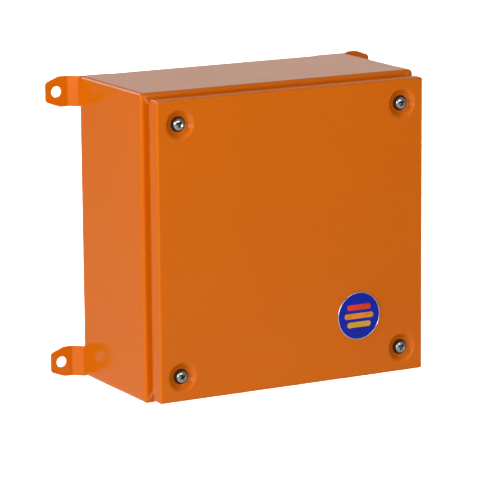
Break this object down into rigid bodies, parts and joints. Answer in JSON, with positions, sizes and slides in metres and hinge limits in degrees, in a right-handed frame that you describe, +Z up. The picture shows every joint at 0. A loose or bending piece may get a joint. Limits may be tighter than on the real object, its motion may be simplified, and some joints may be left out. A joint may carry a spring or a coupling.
{
  "type": "fire-rated terminal enclosure",
  "caption": "Square orange sheet-steel box with a screwed pan lid, wall lugs at its rear corners and ceramic terminals on a rail inside.",
  "frame": {"origin": "on the wall plane, at the centre of the box, midway between the four lugs", "axes": "+X to the right seen from the front, +Y into the wall, +Z up; the lid faces -Y"},
  "size_m": [0.304, 0.1404, 0.25],
  "materials": {
    "body_paint": "glossy orange powder coat",
    "lid_paint": "glossy orange powder coat",
    "silicone_gasket": "matt red silicone",
    "badge_enamel": "blue enamel with a pale rim",
    "screw_steel": "bright zinc plated",
    "washer_rubber": "matt black",
    "zinc_hardware": "zinc plated",
    "galvanised_sheet": "galvanised",
    "ceramic_body": "unglazed steatite",
    "brass_bar": "machined"
  },
  "bodies": {
    "enclosure": {"body_shell": "body_paint", "rear_panel": "body_paint", "wall_lug_top_left": "body_paint", "wall_lug_top_right": "body_paint", "wall_lug_bottom_left": "body_paint", "wall_lug_bottom_right": "body_paint", "corner_bracket_top_left": "body_paint", "corner_bracket_top_right": "body_paint", "corner_bracket_bottom_left": "body_paint", "corner_bracket_bottom_right": "body_paint", "weld_nut_top_left": "zinc_hardware", "weld_nut_top_right": "zinc_hardware", "weld_nut_bottom_left": "zinc_hardware", "weld_nut_bottom_right": "zinc_hardware", "plate_stud_top_left": "zinc_hardware", "plate_stud_top_right": "zinc_hardware", "plate_stud_bottom_left": "zinc_hardware", "plate_stud_bottom_right": "zinc_hardware", "plate_nut_top_left": "zinc_hardware", "plate_nut_top_right": "zinc_hardware", "plate_nut_bottom_left": "zinc_hardware", "plate_nut_bottom_right": "zinc_hardware", "rail_screw_left": "zinc_hardware", "rail_screw_right": "zinc_hardware", "end_clamp_left": "zinc_hardware", "end_clamp_right": "zinc_hardware", "mounting_plate": "galvanised_sheet", "din_rail": "galvanised_sheet", "terminal_body_1": "ceramic_body", "terminal_body_2": "ceramic_body", "terminal_body_3": "ceramic_body", "terminal_body_4": "ceramic_body", "terminal_bar_1": "brass_bar", "terminal_bar_2": "brass_bar", "terminal_bar_3": "brass_bar", "terminal_bar_4": "brass_bar", "earth_stud": "brass_bar", "earth_nut": "brass_bar"},
    "lid": {"lid": "lid_paint", "lid_gasket": "silicone_gasket", "badge": "badge_enamel"},
    "washer_top_left": {"sealing_washer_top_left": "washer_rubber"},
    "screw_top_left": {"lid_screw_top_left": "screw_steel"},
    "washer_top_right": {"sealing_washer_top_right": "washer_rubber"},
    "screw_top_right": {"lid_screw_top_right": "screw_steel"},
    "washer_bottom_left": {"sealing_washer_bottom_left": "washer_rubber"},
    "screw_bottom_left": {"lid_screw_bottom_left": "screw_steel"},
    "washer_bottom_right": {"sealing_washer_bottom_right": "washer_rubber"},
    "screw_bottom_right": {"lid_screw_bottom_right": "screw_steel"},
    "clamp_screw_1_top": {"clamp_screw_1_top": "screw_steel"},
    "clamp_screw_1_bottom": {"clamp_screw_1_bottom": "screw_steel"},
    "clamp_screw_2_top": {"clamp_screw_2_top": "screw_steel"},
    "clamp_screw_2_bottom": {"clamp_screw_2_bottom": "screw_steel"},
    "clamp_screw_3_top": {"clamp_screw_3_top": "screw_steel"},
    "clamp_screw_3_bottom": {"clamp_screw_3_bottom": "screw_steel"},
    "clamp_screw_4_top": {"clamp_screw_4_top": "screw_steel"},
    "clamp_screw_4_bottom": {"clamp_screw_4_bottom": "screw_steel"}
  },
  "joints": [
    {"name": "lid_lift", "type": "slide", "parent": "enclosure", "child": "lid", "axis": [0, -1, 0], "range_m": [0, 0.06]},
    {"name": "screw_top_left_travel", "type": "slide", "parent": "lid", "child": "washer_top_left", "axis": [0, -1, 0], "range_m": [0, 0.0072]},
    {"name": "screw_top_left_turn", "type": "hinge", "parent": "washer_top_left", "child": "screw_top_left", "pos_m": [-0.1015, -0.1369, 0.1015], "axis": [0, -1, 0], "range_deg": [0, 3240]},
    {"name": "screw_top_right_travel", "type": "slide", "parent": "lid", "child": "washer_top_right", "axis": [0, -1, 0], "range_m": [0, 0.0072]},
    {"name": "screw_top_right_turn", "type": "hinge", "parent": "washer_top_right", "child": "screw_top_right", "pos_m": [0.1015, -0.1369, 0.1015], "axis": [0, -1, 0], "range_deg": [0, 3240]},
    {"name": "screw_bottom_left_travel", "type": "slide", "parent": "lid", "child": "washer_bottom_left", "axis": [0, -1, 0], "range_m": [0, 0.0072]},
    {"name": "screw_bottom_left_turn", "type": "hinge", "parent": "washer_bottom_left", "child": "screw_bottom_left", "pos_m": [-0.1015, -0.1369, -0.1015], "axis": [0, -1, 0], "range_deg": [0, 3240]},
    {"name": "screw_bottom_right_travel", "type": "slide", "parent": "lid", "child": "washer_bottom_right", "axis": [0, -1, 0], "range_m": [0, 0.0072]},
    {"name": "screw_bottom_right_turn", "type": "hinge", "parent": "washer_bottom_right", "child": "screw_bottom_right", "pos_m": [0.1015, -0.1369, -0.1015], "axis": [0, -1, 0], "range_deg": [0, 3240]},
    {"name": "clamp_screw_1_top_turn", "type": "hinge", "parent": "enclosure", "child": "clamp_screw_1_top", "pos_m": [-0.024, -0.065, 0.015], "axis": [0, -1, 0], "range_deg": [-1440, 0]},
    {"name": "clamp_screw_1_bottom_turn", "type": "hinge", "parent": "enclosure", "child": "clamp_screw_1_bottom", "pos_m": [-0.024, -0.065, -0.015], "axis": [0, -1, 0], "range_deg": [-1440, 0]},
    {"name": "clamp_screw_2_top_turn", "type": "hinge", "parent": "enclosure", "child": "clamp_screw_2_top", "pos_m": [-0.008, -0.065, 0.015], "axis": [0, -1, 0], "range_deg": [-1440, 0]},
    {"name": "clamp_screw_2_bottom_turn", "type": "hinge", "parent": "enclosure", "child": "clamp_screw_2_bottom", "pos_m": [-0.008, -0.065, -0.015], "axis": [0, -1, 0], "range_deg": [-1440, 0]},
    {"name": "clamp_screw_3_top_turn", "type": "hinge", "parent": "enclosure", "child": "clamp_screw_3_top", "pos_m": [0.008, -0.065, 0.015], "axis": [0, -1, 0], "range_deg": [-1440, 0]},
    {"name": "clamp_screw_3_bottom_turn", "type": "hinge", "parent": "enclosure", "child": "clamp_screw_3_bottom", "pos_m": [0.008, -0.065, -0.015], "axis": [0, -1, 0], "range_deg": [-1440, 0]},
    {"name": "clamp_screw_4_top_turn", "type": "hinge", "parent": "enclosure", "child": "clamp_screw_4_top", "pos_m": [0.024, -0.065, 0.015], "axis": [0, -1, 0], "range_deg": [-1440, 0]},
    {"name": "clamp_screw_4_bottom_turn", "type": "hinge", "parent": "enclosure", "child": "clamp_screw_4_bottom", "pos_m": [0.024, -0.065, -0.015], "axis": [0, -1, 0], "range_deg": [-1440, 0]}
  ],
  "couplings": [
    {"joint": "screw_top_left_turn", "follows": "screw_top_left_travel", "rad_per_m": 7854},
    {"joint": "screw_top_right_turn", "follows": "screw_top_right_travel", "rad_per_m": 7854},
    {"joint": "screw_bottom_left_turn", "follows": "screw_bottom_left_travel", "rad_per_m": 7854},
    {"joint": "screw_bottom_right_turn", "follows": "screw_bottom_right_travel", "rad_per_m": 7854}
  ]
}
